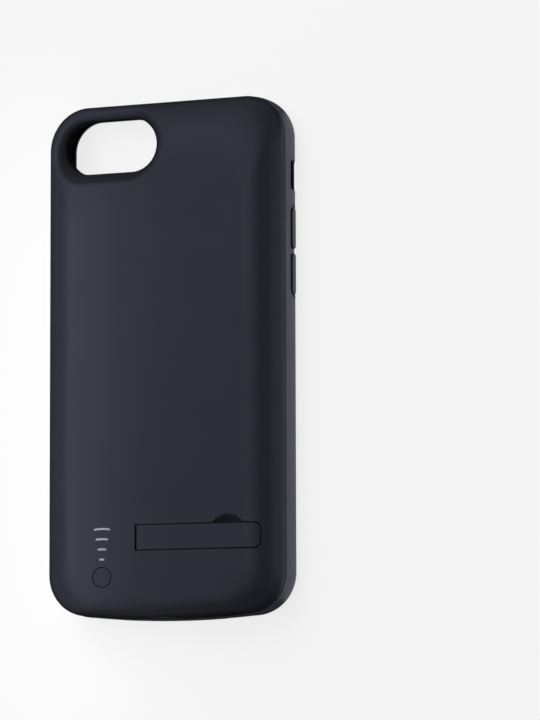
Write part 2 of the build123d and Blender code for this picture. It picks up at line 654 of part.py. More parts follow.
def make_tact_switch():
    body = Pos(LIGHT_X, BUTTON_Y, BOARD_TOP_Z) * extrude(Rectangle(SWITCH_SIZE, SWITCH_SIZE), SWITCH_HEIGHT)
    well_low = SWITCH_TOP_Z - PLUNGER_DEPTH - BUTTON_TRAVEL - SEAT_GAP
    well_diameter = PLUNGER_DIAMETER + 2 * PLUNGER_CLEARANCE
    return body - round_bar(LIGHT_X, BUTTON_Y, well_diameter, well_low, SWITCH_TOP_Z + PAST)


def make_light_guide():
    web_low = SHELL_INSIDE_Z - SEAT_GAP - LIGHT_WEB
    web_length = LIGHT_PITCH * (LIGHT_COUNT - 1) + LIGHT_WIDTH + 2 * LIGHT_WEB_MARGIN
    web_plan = RectangleRounded(LIGHT_LONGEST + 2 * LIGHT_WEB_MARGIN, web_length, LIGHT_WEB_MARGIN)
    web_y = (light_y(0) + light_y(LIGHT_COUNT - 1)) / 2
    guide = Pos(LIGHT_X, web_y, web_low) * extrude(web_plan, LIGHT_WEB)
    for index, bar in enumerate(light_bars(0)):
        guide += Pos(0, 0, web_low) * extrude(bar, REAR_Z - LIGHT_FIT - web_low)
        post_low = BOARD_TOP_Z + LED_HEIGHT + LIGHT_POST_GAP
        guide += round_bar(LIGHT_X, light_y(index), LIGHT_POST_DIAMETER, post_low, web_low)
    return guide


def make_indicator_leds():
    led = extrude(Rectangle(LED_LENGTH, LED_WIDTH), LED_HEIGHT)
    return [Pos(LIGHT_X, light_y(index), BOARD_TOP_Z) * led for index in range(LIGHT_COUNT)]


def cell_sheet(margin, low_z, thickness):
    """A sheet over the cell's face, smaller than the cell by a margin all round."""
    plan = Rectangle(CELL_WIDTH - 2 * margin, CELL_LENGTH - 2 * margin)
    return Pos(0, CELL_Y, low_z) * extrude(plan, thickness)


def make_battery_cell():
    plan = RectangleRounded(CELL_WIDTH, CELL_LENGTH, CELL_CORNER)
    cell = Pos(0, CELL_Y, CELL_BOTTOM_Z) * extrude(plan, CELL_TOP_Z - CELL_BOTTOM_Z)
    return fillet(cell.edges().group_by(Axis.Z)[-1] + cell.edges().group_by(Axis.Z)[0], CELL_EDGE_ROUND)


def make_cell_board():
    half = CELL_BOARD_LENGTH / 2
    high = (half, CELL_BOARD_LOW_Y + CELL_BOARD_WIDTH, BOARD_TOP_Z)
    return block((-half, CELL_BOARD_LOW_Y, TRAY_REAR_Z), high)


def make_battery_lead(side):
    length = LEAD_RUN + CELL_BOARD_WIDTH
    middle_y = CELL_BOARD_LOW_Y - LEAD_RUN / 2
    place = Pos(side * LEAD_SPACING / 2, middle_y, BOARD_TOP_Z + LEAD_DIAMETER / 2)
    return place * Rot(90, 0, 0) * Cylinder(LEAD_DIAMETER / 2, length)


def make_main_board():
    low_z = BOARD_TOP_Z - BOARD_THICKNESS
    plan = Pos(0, BOARD_MIDDLE_Y) * RectangleRounded(BOARD_WIDTH, BOARD_LENGTH, BOARD_CORNER)
    tongue_half = BOARD_TONGUE_WIDTH / 2
    board = Pos(0, 0, low_z) * extrude(plan, BOARD_THICKNESS)
    return board + block((-tongue_half, PLUG_BOARD_HIGH_Y, low_z), (tongue_half, BOARD_MIDDLE_Y, BOARD_TOP_Z))


def make_charge_port_shell():
    port = side_prism(port_profile(0), PORT_BACK_Y, PORT_MOUTH_Y, PORT_Z)
    return port - side_prism(port_profile(-PORT_SHEET), PORT_BACK_Y - PORT_SHEET, PORT_MOUTH_Y - PAST, PORT_Z)


def make_charge_port_tongue():
    tongue = Rectangle(PORT_TONGUE_WIDTH, PORT_TONGUE_THICKNESS)
    return side_prism(tongue, PORT_BACK_Y - PORT_SHEET, PORT_MOUTH_Y + PORT_TONGUE_SETBACK, PORT_Z)


def make_charge_controller():
    chip = extrude(Rectangle(CONTROLLER_SIZE, CONTROLLER_SIZE), CONTROLLER_HEIGHT)
    return Pos(CONTROLLER_X, BOARD_MIDDLE_Y, BOARD_TOP_Z) * chip


def make_boost_inductor():
    core_diameter = INDUCTOR_DIAMETER - 2 * INDUCTOR_WAIST
    top_z = BOARD_TOP_Z + INDUCTOR_HEIGHT
    coil = round_bar(INDUCTOR_X, BOARD_MIDDLE_Y, core_diameter, BOARD_TOP_Z, top_z)
    for flange_z in (BOARD_TOP_Z, top_z - INDUCTOR_FLANGE):
        coil += round_bar(INDUCTOR_X, BOARD_MIDDLE_Y, INDUCTOR_DIAMETER, flange_z, flange_z + INDUCTOR_FLANGE)
    return coil


def make_board_capacitors():
    chip = extrude(Rectangle(CAPACITOR_WIDTH, CAPACITOR_LENGTH), CAPACITOR_WIDTH)
    first_x = CAPACITORS_X - CAPACITOR_PITCH * (CAPACITOR_COUNT - 1) / 2
    return [
        Pos(first_x + CAPACITOR_PITCH * index, BOARD_MIDDLE_Y, BOARD_TOP_Z) * chip
        for index in range(CAPACITOR_COUNT)
    ]


def plug_profile(grow):
    return SlotOverall(PLUG_WIDTH + 2 * grow, PLUG_THICKNESS + 2 * grow)


def contact_block(width, centre_x, face):
    """A shallow block in one of the plug's two faces, where its contacts lie."""
    outer_z = PHONE_MIDDLE_Z + face * PLUG_THICKNESS / 2
    inner_z = outer_z - face * CONTACT_THICKNESS
    high_y = BAY_LOW_Y + PLUG_REACH - CONTACT_SETBACK
    low = (centre_x - width / 2, high_y - CONTACT_LENGTH, min(inner_z, outer_z))
    return block(low, (centre_x + width / 2, high_y, max(inner_z, outer_z)))


def make_phone_plug():
    plug = side_prism(plug_profile(0), BAY_LOW_Y + PLUG_REACH, PLUG_BOARD_HIGH_Y, PHONE_MIDDLE_Z)
    tip_edges = plug.edges().group_by(Axis.Y)[-1]
    plug = fillet(tip_edges, PLUG_TIP_ROUND)
    field_width = CONTACT_PITCH * CONTACT_COUNT
    return plug - contact_block(field_width, 0, 1) - contact_block(field_width, 0, -1)


def make_plug_contacts():
    first_x = -CONTACT_PITCH * (CONTACT_COUNT - 1) / 2
    return [
        contact_block(CONTACT_WIDTH, first_x + CONTACT_PITCH * index, face)
        for face in (-1, 1)
        for index in range(CONTACT_COUNT)
    ]


def make_plug_holder():
    half = HOLDER_WIDTH / 2
    holder = block((-half, PLUG_BOARD_HIGH_Y, HOLDER_FRONT_Z), (half, BAY_LOW_Y, TRAY_FRONT_Z))
    holder = fillet(holder.edges().group_by(Axis.Y)[-1], HOLDER_EDGE_ROUND)
    return holder - side_prism(plug_profile(0), BAY_LOW_Y + PAST, PLUG_BOARD_HIGH_Y - PAST, PHONE_MIDDLE_Z)


def make_plug_board():
    half = PLUG_BOARD_WIDTH / 2
    low = (-half, PLUG_BOARD_LOW_Y, HOLDER_FRONT_Z + PLUG_BOARD_DROP)
    return block(low, (half, PLUG_BOARD_HIGH_Y, BOARD_TOP_Z))


def make_parts():
    volume_step = VOLUME_KEY_PITCH / 2
    return {
        "rear_shell": make_rear_shell(),
        "bumper_frame": make_bumper_frame(),
        "inner_tray": make_inner_tray(),
        "kickstand": make_kickstand(),
        "stand_pin": make_stand_pin(),
        "power_button": make_power_button(),
        "switch_plunger": make_switch_plunger(),
        "tact_switch": make_tact_switch(),
        "light_guide": make_light_guide(),
        "indicator_leds": make_indicator_leds(),
        "volume_up_button": make_key_cover(VOLUME_KEY_LENGTH, VOLUME_Y + volume_step),
        "volume_down_button": make_key_cover(VOLUME_KEY_LENGTH, VOLUME_Y - volume_step),
        "side_key_button": on_left_wall(make_key_cover(SIDE_KEY_LENGTH, SIDE_KEY_Y)),
        "battery_cell": make_battery_cell(),
        "cell_tape": cell_sheet(TAPE_MARGIN, TRAY_REAR_Z, TAPE_THICKNESS),
        "cell_foam_pad": cell_sheet(FOAM_MARGIN, CELL_TOP_Z, FOAM_THICKNESS),
        "cell_board": make_cell_board(),
        "battery_lead_positive": make_battery_lead(1),
        "battery_lead_negative": make_battery_lead(-1),
        "main_board": make_main_board(),
        "charge_port_shell": make_charge_port_shell(),
        "charge_port_tongue": make_charge_port_tongue(),
        "charge_controller": make_charge_controller(),
        "boost_inductor": make_boost_inductor(),
        "board_capacitors": make_board_capacitors(),
        "phone_plug": make_phone_plug(),
        "plug_contacts": make_plug_contacts(),
        "plug_holder": make_plug_holder(),
        "plug_board": make_plug_board(),
    }


os.makedirs("parts", exist_ok=True)
for name, shape in make_parts().items():
    solids = shape if isinstance(shape, list) else [shape]
    export_step(Compound(children=solids) if len(solids) > 1 else solids[0], f"parts/{name}.step")
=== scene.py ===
"""Finishes and studio of a battery charging case, laid out as an add-on and run as a script."""

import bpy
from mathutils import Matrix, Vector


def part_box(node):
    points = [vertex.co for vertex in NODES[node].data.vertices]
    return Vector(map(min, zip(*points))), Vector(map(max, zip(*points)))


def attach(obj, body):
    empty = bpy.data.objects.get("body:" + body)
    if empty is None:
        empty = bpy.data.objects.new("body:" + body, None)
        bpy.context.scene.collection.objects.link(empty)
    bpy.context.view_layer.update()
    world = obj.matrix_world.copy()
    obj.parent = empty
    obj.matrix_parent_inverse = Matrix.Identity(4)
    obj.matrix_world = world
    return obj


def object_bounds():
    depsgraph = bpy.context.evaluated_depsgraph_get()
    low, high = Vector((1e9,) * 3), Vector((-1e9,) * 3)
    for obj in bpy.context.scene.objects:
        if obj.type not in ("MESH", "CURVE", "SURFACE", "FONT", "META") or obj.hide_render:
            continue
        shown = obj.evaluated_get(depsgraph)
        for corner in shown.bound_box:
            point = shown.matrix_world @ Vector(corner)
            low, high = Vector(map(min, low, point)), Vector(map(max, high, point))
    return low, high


bl_info = {
    "name": "Battery Charging Case",
    "version": (1, 0, 0),
    "blender": (4, 5, 0),
    "location": "View3D > Sidebar > Charging Case",
    "description": "Gives the pieces of a battery charging case their finish and sets up a studio",
    "category": "Object",
}

from math import cos, pi, radians, sin

import bmesh
import bpy
from bpy.props import FloatProperty, FloatVectorProperty, IntProperty, PointerProperty
from mathutils import Matrix, Vector

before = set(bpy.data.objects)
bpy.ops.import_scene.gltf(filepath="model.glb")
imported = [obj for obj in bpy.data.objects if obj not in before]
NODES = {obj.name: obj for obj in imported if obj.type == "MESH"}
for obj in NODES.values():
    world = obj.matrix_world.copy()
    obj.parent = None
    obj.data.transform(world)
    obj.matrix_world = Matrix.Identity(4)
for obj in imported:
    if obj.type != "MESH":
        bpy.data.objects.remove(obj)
cad_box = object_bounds()
MIDDLE = (Vector(cad_box[0]) + Vector(cad_box[1])) / 2
MM = 0.001
WHITE = (1.0, 1.0, 1.0, 1.0)
FINISHES = {}

# Kinds of socket on a shared shader group
VECTOR, FLOAT, COLOUR = "NodeSocketVector", "NodeSocketFloat", "NodeSocketColor"

# Places of a Mix node's colour sockets, because its other kinds have the same names
MIX_FACTOR, MIX_FIRST, MIX_SECOND, MIX_RESULT = 0, 6, 7, 2

# The range that holds most values of a noise
NOISE_LOW, NOISE_HIGH = 0.3, 0.7

# Lines in a metre, across and along drawn steel and plated contacts
DRAWN_LINES = (9000.0, 700.0, 9000.0)
PLATED_LINES = (6000.0, 1500.0, 6000.0)

# Steps round the floor and up its edge, and the gap that closes its seam
FLOOR_STEPS = 96
SWEEP_STEPS = 12
SEAM_GAP = 1e-6

# The camera's sensor in millimetres, and how far it sees in metres
SENSOR_WIDTH = 36.0
SIGHT = 20.0


def colour_property(name, description, default):
    """A colour that a user can change, in linear red, green and blue."""
    return FloatVectorProperty(
        name=name, description=description, default=default, subtype="COLOR", min=0.0, max=1.0
    )


def length_property(name, description, default):
    """A length that a user can change, in metres."""
    return FloatProperty(
        name=name, description=description, default=default,
        unit="LENGTH", subtype="DISTANCE", precision=5,
    )


def place_property(name, description, default):
    """A place that a user can change, in metres from the middle of the case."""
    return FloatVectorProperty(
        name=name, description=description, default=default,
        unit="LENGTH", subtype="TRANSLATION",
    )


def sides_property(name, description, default):
    """The two sides of a soft light, in metres."""
    return FloatVectorProperty(
        name=name, description=description, default=default, size=2, unit="LENGTH"
    )


def angle_property(name, description, degrees):
    """An angle that a user can change."""
    return FloatProperty(
        name=name, description=description, default=radians(degrees), subtype="ANGLE"
    )


def power_property(name, description, default):
    """The power of a light, in watts."""
    return FloatProperty(
        name=name, description=description, default=default, unit="POWER", min=0.0
    )


def share_property(name, description, default):
    """A share from none to all."""
    return FloatProperty(
        name=name, description=description, default=default, subtype="FACTOR", min=0.0, max=1.0
    )


class CaseFinish(bpy.types.PropertyGroup):
    """Colours and grain of the case's pieces, and the contacts in its socket."""

    shell_colour: colour_property(
        "Shell", "Soft-touch coat of the rear shell and the stand", (0.0208, 0.0206, 0.0275)
    )
    shell_gloss: colour_property("Shell gloss", "Tint of the coat's gloss", (0.610, 0.680, 1.000))
    shell_roughness: share_property("Shell roughness", "Roughness of the soft-touch coat", 0.5)
    button_colour: colour_property(
        "Power button", "Coat of the power button", (0.0190, 0.0178, 0.0230)
    )
    frame_colour: colour_property("Frame", "Rubber of the bumper frame", (0.0690, 0.0700, 0.1150))
    key_colour: colour_property("Keys", "Rubber of the key covers", (0.0200, 0.0228, 0.0340))
    tray_colour: colour_property("Tray", "Bare plastic inside the bay", (0.0160, 0.0175, 0.0220))
    light_colour: colour_property(
        "Charge lights", "Milky plastic of the lights", (0.340, 0.350, 0.430)
    )
    grain_size: length_property("Grain size", "Width of the coat's grain", 0.22 * MM)
    grain_depth: length_property("Grain depth", "Height of the coat's grain", 0.004 * MM)
    steel_colour: colour_property("Steel", "Plug and socket", (0.560, 0.560, 0.570))
    # The hinge pin's near-black is partly blackened steel and partly painted shade for the hinge
    # gap where the pin shows.
    dark_pin_shade_colour: colour_property(
        "Hinge pin", "Blackened steel of the hinge pin", (0.030, 0.030, 0.033)
    )
    gold_colour: colour_property("Gold", "Plated contacts", (0.800, 0.520, 0.170))
    copper_colour: colour_property("Copper", "Windings of the inductor", (0.560, 0.200, 0.080))
    ferrite_colour: colour_property("Ferrite", "Core of the inductor", (0.035, 0.035, 0.037))
    tin_colour: colour_property("Tin", "Solder and soldered ends", (0.620, 0.620, 0.610))
    ceramic_colour: colour_property("Ceramic", "Body of the capacitors", (0.34, 0.22, 0.13))
    epoxy_colour: colour_property("Epoxy", "Chips and switches", (0.012, 0.012, 0.013))
    package_colour: colour_property("Lamp package", "Sides of the lamps", (0.72, 0.72, 0.70))
    phosphor_colour: colour_property("Phosphor", "Top of the lamps", (0.72, 0.60, 0.12))
    board_colour: colour_property("Boards", "Solder resist of the boards", (0.010, 0.060, 0.028))
    foil_colour: colour_property("Cell foil", "Foil round the battery cell", (0.520, 0.530, 0.550))
    tape_colour: colour_property("Tape", "Adhesive sheet under the cell", (0.70, 0.69, 0.66))
    foam_colour: colour_property("Foam", "Walls of the foam's pores", (0.12, 0.12, 0.125))
    # The pore colour is painted shade for the depth of the pores, not a colour of the foam itself.
    pore_shade_colour: colour_property("Foam pores", "Depth of the foam's pores", (0.03, 0.03, 0.032))
    red_colour: colour_property("Red lead", "Positive lead", (0.36, 0.012, 0.010))
    black_colour: colour_property("Black lead", "Negative lead", (0.012, 0.012, 0.013))
    contact_count: IntProperty(
        name="Contacts", description="Contacts a side in the socket", default=5, min=1
    )
    contact_width: length_property("Contact width", "Width of a socket contact", 0.45 * MM)
    contact_length: length_property("Contact length", "Length of a socket contact", 4.2 * MM)
    contact_rise: length_property(
        "Contact rise", "How far a contact stands out of the tongue", 0.04 * MM
    )
    contact_setback: length_property(
        "Contact setback", "From the tongue's outer end to a contact", 0.5 * MM
    )
    contact_round: length_property("Contact round", "Round of a contact's edges", 0.03 * MM)


class CaseStudio(bpy.types.PropertyGroup):
    """Camera, lights, floor and dark cards."""

    yaw: angle_property("Yaw", "Turn of the view to the case's right", 24.57)
    pitch: angle_property("Pitch", "Turn of the view to the case's bottom end", 5.81)
    distance: length_property("Distance", "From the camera to the middle of the case", 983.4 * MM)
    focal_length: FloatProperty(
        name="Focal length", description="Camera lens in millimetres",
        default=176.7, unit="CAMERA", min=1.0,
    )
    pan: angle_property("Pan", "How far the camera looks past the case to its right", 1.6537)
    tilt: angle_property("Tilt", "How far the camera looks below the case", 0.0138)
    key_power: power_property("Key light", "Wide soft light above the left side", 6.05)
    key_place: place_property("Key place", "Where the key light hangs", (-0.15, 0.30, 0.78))
    key_sides: sides_property("Key sides", "Sides of the key light", (0.64, 1.2))
    strip_power: power_property("Strip light", "Narrow light along the left edge", 0.0230)
    strip_place: place_property(
        "Strip place", "Where the strip light hangs", (-0.040, -0.025, 0.038)
    )
    strip_sides: sides_property("Strip sides", "Sides of the strip light", (0.010, 0.17))
    fill_power: power_property("Fill light", "Low light that lifts the right wall", 0.9)
    fill_place: place_property("Fill place", "Where the fill light stands", (0.95, 0.0, 0.040))
    fill_sides: sides_property("Fill sides", "Sides of the fill light", (1.0, 0.10))
    sky_level: FloatProperty(
        name="Sky", description="Even light from all round", default=0.05, min=0.0
    )
    floor_colour: colour_property("Floor", "Paper sweep under the case", (0.93, 0.93, 0.93))
    floor_white: share_property(
        "Floor white", "Share of plain white in what the eye sees of the floor", 0.8
    )
    floor_radius: length_property("Floor radius", "From the case to where the sweep turns up", 2.2)
    sweep_radius: length_property("Sweep", "Radius of the sweep's upturned edge", 0.9)
    card_colour: colour_property("Dark cards", "Cloth that the edges mirror", (0.004, 0.004, 0.004))
    card_reach: length_property("Card reach", "From the middle to a dark card's far edge", 0.40)
    card_overlap: length_property(
        "Card overlap", "From the case's edges in to the edges of the dark cards", 0.003
    )
    card_lift: length_property("Card lift", "From the floor up to a dark card", 1 * MM)
    card_rise: length_property("Card rise", "How far the left card's far edge turns up", 0.25)


def feed(tree, value, socket):
    """Links a socket to an input, or sets a plain value on it."""
    if isinstance(value, bpy.types.NodeSocket):
        tree.links.new(value, socket)
    else:
        socket.default_value = value


def add_node(tree, kind, inputs=None, **settings):
    """A new node with its settings, and with a value or a link for each named input."""
    node = tree.nodes.new(kind)
    for name, value in settings.items():
        setattr(node, name, value)
    for name, value in (inputs or {}).items():
        feed(tree, value, node.inputs[name])
    return node


def calculate(tree, operation, first, second=0.0):
    """The result of a sum on one or two values."""
    return add_node(tree, "ShaderNodeMath", {0: first, 1: second}, operation=operation).outputs[0]


def remap(tree, value, low, high, new_low=0.0, new_high=1.0):
    """A value moved from one range to another, and held inside it."""
    inputs = {
        "Value": value, "From Min": low, "From Max": high, "To Min": new_low, "To Max": new_high,
    }
    return add_node(tree, "ShaderNodeMapRange", inputs).outputs["Result"]


def noise_between(tree, value, low, high):
    """A noise spread over a range of its own."""
    return remap(tree, value, NOISE_LOW, NOISE_HIGH, low, high)


def by_mask(tree, mask, outside, inside):
    """One value outside a mask and another inside it."""
    return remap(tree, mask, 0.0, 1.0, outside, inside)


def opaque(colour):
    """A colour with its alpha; a link stays as it is."""
    return colour if isinstance(colour, bpy.types.NodeSocket) else (*colour, 1.0)


def mix_colour(tree, factor, first, second, blend="MIX"):
    """Two colours mixed by a factor."""
    node = add_node(tree, "ShaderNodeMix", data_type="RGBA", blend_type=blend)
    feed(tree, factor, node.inputs[MIX_FACTOR])
    feed(tree, opaque(first), node.inputs[MIX_FIRST])
    feed(tree, opaque(second), node.inputs[MIX_SECOND])
    return node.outputs[MIX_RESULT]


def object_place(tree):
    """Where a point lies on the piece, in metres."""
    return add_node(tree, "ShaderNodeTexCoord").outputs["Object"]


def stretched(tree, spot, scale):
    """A place stretched along the axes."""
    return add_node(tree, "ShaderNodeMapping", {"Vector": spot, "Scale": scale}).outputs["Vector"]


def along(tree, spot, axis):
    """One coordinate of a place."""
    return add_node(tree, "ShaderNodeSeparateXYZ", {"Vector": spot}).outputs[axis]


def per_metre(tree, size):
    """How many of a size fit in a metre, for a plain size or one that a link gives."""
    linked = isinstance(size, bpy.types.NodeSocket)
    return calculate(tree, "DIVIDE", 1.0, size) if linked else 1.0 / size


def noise(tree, spot, size, detail=2.0):
    """Soft noise whose lumps have a size in metres."""
    scale = per_metre(tree, size)
    inputs = {"Vector": spot, "Scale": scale, "Detail": detail}
    return add_node(tree, "ShaderNodeTexNoise", inputs).outputs["Fac"]


def cells(tree, spot, size, feature="F1"):
    """Distance to the middle of cells with a size in metres."""
    inputs = {"Vector": spot, "Scale": per_metre(tree, size)}
    return add_node(tree, "ShaderNodeTexVoronoi", inputs, feature=feature).outputs["Distance"]


def new_group(name, inputs, outputs):
    """An empty shader group with its sockets, and its input and output nodes."""
    group = bpy.data.node_groups.new(name, "ShaderNodeTree")
    for socket_name, kind in inputs:
        group.interface.new_socket(socket_name, in_out="INPUT", socket_type=kind)
    for socket_name, kind in outputs:
        group.interface.new_socket(socket_name, in_out="OUTPUT", socket_type=kind)
    return group, group.nodes.new("NodeGroupInput"), group.nodes.new("NodeGroupOutput")


def swung(group, value, start, centre):
    """A centre that a noise swings up and down by the group's Spread."""
    swing = noise_between(group, value, -1.0, 1.0)
    swing = calculate(group, "MULTIPLY", swing, start.outputs["Spread"])
    return calculate(group, "ADD", centre, swing)


def build_moulded_grain(name):
    """Fine pebbled grain of an eroded mould, with slow changes of gloss."""
    group, start, end = new_group(
        name,
        [("Place", VECTOR), ("Grain Size", FLOAT), ("Roughness", FLOAT), ("Spread", FLOAT)],
        [("Height", FLOAT), ("Roughness", FLOAT)],
    )
    spot = start.outputs["Place"]
    pebbles = cells(group, spot, start.outputs["Grain Size"], "SMOOTH_F1")
    fine = noise(group, spot, start.outputs["Grain Size"])
    feed(group, calculate(group, "ADD", fine, pebbles), end.inputs["Height"])
    patches = noise(group, spot, size=17 * MM, detail=3.0)
    feed(group, swung(group, patches, start, start.outputs["Roughness"]), end.inputs["Roughness"])
    return group


def build_colour_drift(name):
    """A colour that grows a little lighter and darker over the piece."""
    group, start, end = new_group(
        name,
        [("Place", VECTOR), ("Color", COLOUR), ("Patch Size", FLOAT), ("Spread", FLOAT)],
        [("Color", COLOUR)],
    )
    patches = noise(group, start.outputs["Place"], start.outputs["Patch Size"], detail=4.0)
    factor = swung(group, patches, start, centre=1.0)
    channels = {"Red": factor, "Green": factor, "Blue": factor}
    shade = add_node(group, "ShaderNodeCombineColor", channels).outputs["Color"]
    tinted = mix_colour(group, 1.0, start.outputs["Color"], shade, blend="MULTIPLY")
    feed(group, tinted, end.inputs["Color"])
    return group


def build_drawn_lines(name):
    """Fine lines left on metal by drawing, as a height and a roughness."""
    group, start, end = new_group(
        name,
        [("Place", VECTOR), ("Lines", VECTOR), ("Roughness", FLOAT), ("Spread", FLOAT)],
        [("Height", FLOAT), ("Roughness", FLOAT)],
    )
    spot = stretched(group, start.outputs["Place"], start.outputs["Lines"])
    lines = noise(group, spot, size=1.0, detail=3.0)
    feed(group, lines, end.inputs["Height"])
    feed(group, swung(group, lines, start, start.outputs["Roughness"]), end.inputs["Roughness"])
    return group


def place_group(tree, build, **inputs):
    """A shared shader group, built once, placed in a material with its own values."""
    name = build.__name__.removeprefix("build_")
    group = bpy.data.node_groups.get(name) or build(name)
    named = {socket.replace("_", " "): value for socket, value in inputs.items()}
    return add_node(tree, "ShaderNodeGroup", named, node_tree=group).outputs


def drifted(tree, spot, colour, patch_size, spread):
    """A colour with the shared drift."""
    drift = place_group(
        tree, build_colour_drift,
        Place=spot, Color=opaque(colour), Patch_Size=patch_size, Spread=spread,
    )
    return drift["Color"]


def new_material(name, **values):
    """A material with one Principled shader and plain values on its sockets."""
    material = bpy.data.materials.new(name)
    material.use_nodes = True
    shader = material.node_tree.nodes["Principled BSDF"]
    for socket, value in values.items():
        shader.inputs[socket.replace("_", " ")].default_value = value
    return material, material.node_tree, shader


def shade_with(tree, shader, **values):
    """Links values that change over the surface to the shader's sockets."""
    for socket, value in values.items():
        tree.links.new(value, shader.inputs[socket.replace("_", " ")])


def raise_by(tree, shader, height, depth):
    """Raises a surface by a height of 0 to 1 times a depth in metres."""
    node = add_node(tree, "ShaderNodeBump", {"Height": height, "Distance": depth, "Strength": 1.0})
    tree.links.new(node.outputs["Normal"], shader.inputs["Normal"])


def moulded(name, look, colour, roughness, colour_spread=0.06, **values):
    """Moulded plastic or rubber with a fine grain."""
    material, tree, shader = new_material(name, **values)
    spot = object_place(tree)
    grain = place_group(
        tree, build_moulded_grain,
        Place=spot, Grain_Size=look.grain_size, Roughness=roughness, Spread=0.025,
    )
    colour = drifted(tree, spot, colour, patch_size=20 * MM, spread=colour_spread)
    shade_with(tree, shader, Base_Color=colour, Roughness=grain["Roughness"])
    raise_by(tree, shader, grain["Height"], depth=look.grain_depth)
    return material


def drawn_metal(name, colour, lines_per_metre, roughness):
    """Bare or plated metal with fine drawing lines."""
    material, tree, shader = new_material(name, Metallic=1.0)
    spot = object_place(tree)
    lines = place_group(
        tree, build_drawn_lines,
        Place=spot, Lines=lines_per_metre, Roughness=roughness, Spread=0.08,
    )
    colour = drifted(tree, spot, colour, patch_size=1.5 * MM, spread=0.08)
    shade_with(tree, shader, Base_Color=colour, Roughness=lines["Roughness"])
    raise_by(tree, shader, lines["Height"], depth=0.002 * MM)
    return material


def coated(name, look, colour):
    """Matt coat with a tinted gloss."""
    gloss = {"Specular_IOR_Level": 0.26, "Specular_Tint": opaque(look.shell_gloss)}
    return moulded(name, look, colour, look.shell_roughness, **gloss)


def soft_touch_coat(look):
    """Matt coat of the rear shell and the stand."""
    return coated("soft_touch_coat", look, look.shell_colour)


def button_coat(look):
    """The same coat on the power button, a little darker."""
    return coated("button_coat", look, look.button_colour)


def frame_rubber(look):
    """Slightly lighter rubber of the bumper frame."""
    return moulded(
        "frame_rubber_finish", look, look.frame_colour, roughness=0.55, Specular_IOR_Level=0.4
    )


def key_rubber(look):
    """Darker rubber of the key covers."""
    return moulded(
        "key_rubber_finish", look, look.key_colour, roughness=0.5, Specular_IOR_Level=0.35
    )


def tray_plastic(look):
    """Bare dark plastic inside the bay."""
    return moulded("tray_plastic_finish", look, look.tray_colour, roughness=0.42)


def milky_plastic(look):
    """Milky plastic of the charge lights, which lets a little light in."""
    return moulded(
        "milky_plastic", look, look.light_colour,
        roughness=0.35, colour_spread=0.03, Subsurface_Weight=0.15,
    )


def chip_epoxy(look):
    """Black moulding compound of chips and switches."""
    return moulded("chip_epoxy", look, look.epoxy_colour, roughness=0.6, colour_spread=0.12)


def drawn_steel(look):
    """Steel drawn along the case."""
    return drawn_metal("drawn_steel", look.steel_colour, DRAWN_LINES, roughness=0.24)


def gap_shade_steel(look):
    """Blackened steel of the hinge pin, kept near-black as painted shade so that the pin seen in
    the hinge gap reads as the gap's shadow.
    """
    return drawn_metal("gap_shade_steel", look.dark_pin_shade_colour, DRAWN_LINES, roughness=0.45)


def gold_plate(look):
    """Gold plate on contacts."""
    return drawn_metal("gold_plate", look.gold_colour, PLATED_LINES, roughness=0.2)


def phosphor_light(look):
    """White light package with a yellow phosphor top."""
    material, tree, shader = new_material("phosphor_light", Roughness=0.45)
    spot = object_place(tree)
    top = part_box("indicator_leds")[1][2]
    cover_depth, cover_edge = 0.12 * MM, 0.10 * MM
    cover = remap(tree, along(tree, spot, "Z"), top - cover_depth, top - cover_edge)
    colour = mix_colour(tree, cover, look.package_colour, look.phosphor_colour)
    colour = drifted(tree, spot, colour, patch_size=0.3 * MM, spread=0.08)
    shade_with(tree, shader, Base_Color=colour)
    raise_by(tree, shader, noise(tree, spot, size=0.1 * MM), depth=0.004 * MM)
    return material


def ferrite_and_copper(look):
    """Grey ferrite flanges with copper turns between them."""
    material, tree, shader = new_material("ferrite_and_copper")
    spot = object_place(tree)
    low, high = (corner[2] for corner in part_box("boost_inductor"))
    flange, turn = 0.6 * MM, 0.3 * MM
    height = along(tree, spot, "Z")
    above = calculate(tree, "GREATER_THAN", height, low + flange)
    waist = calculate(tree, "MULTIPLY", above, calculate(tree, "LESS_THAN", height, high - flange))
    wave = calculate(tree, "SINE", calculate(tree, "MULTIPLY", height, pi / turn))
    turns = calculate(tree, "MULTIPLY", calculate(tree, "ABSOLUTE", wave), waist)
    ferrite = drifted(tree, spot, look.ferrite_colour, patch_size=0.4 * MM, spread=0.25)
    shade_with(
        tree, shader,
        Base_Color=mix_colour(tree, waist, ferrite, look.copper_colour),
        Metallic=waist,
        Roughness=by_mask(tree, waist, outside=0.7, inside=0.3),
    )
    raise_by(tree, shader, turns, depth=0.06 * MM)
    return material


def tin_ended(name, look, node_name, colour, end_length, roughness):
    """A piece along Y with a plain body and soldered ends."""
    material, tree, shader = new_material(name)
    spot = object_place(tree)
    low, high = (corner[1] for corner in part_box(node_name))
    from_middle = calculate(tree, "SUBTRACT", along(tree, spot, "Y"), (low + high) / 2)
    from_middle = calculate(tree, "ABSOLUTE", from_middle)
    ends = calculate(tree, "GREATER_THAN", from_middle, (high - low) / 2 - end_length)
    body = drifted(tree, spot, colour, patch_size=0.6 * MM, spread=0.1)
    shade_with(
        tree, shader,
        Base_Color=mix_colour(tree, ends, body, look.tin_colour),
        Metallic=ends,
        Roughness=by_mask(tree, ends, outside=roughness, inside=0.32),
    )
    raise_by(tree, shader, noise(tree, spot, size=0.15 * MM, detail=3.0), depth=0.008 * MM)
    return material


def tan_ceramic(look):
    """Capacitors with soldered ends."""
    return tin_ended(
        "tan_ceramic", look, "board_capacitors", look.ceramic_colour,
        end_length=0.6 * MM, roughness=0.5,
    )


def insulated_lead(name, look, node_name, colour):
    """Insulation of a lead, bare and soldered at its ends."""
    return tin_ended(name, look, node_name, colour, end_length=0.9 * MM, roughness=0.42)


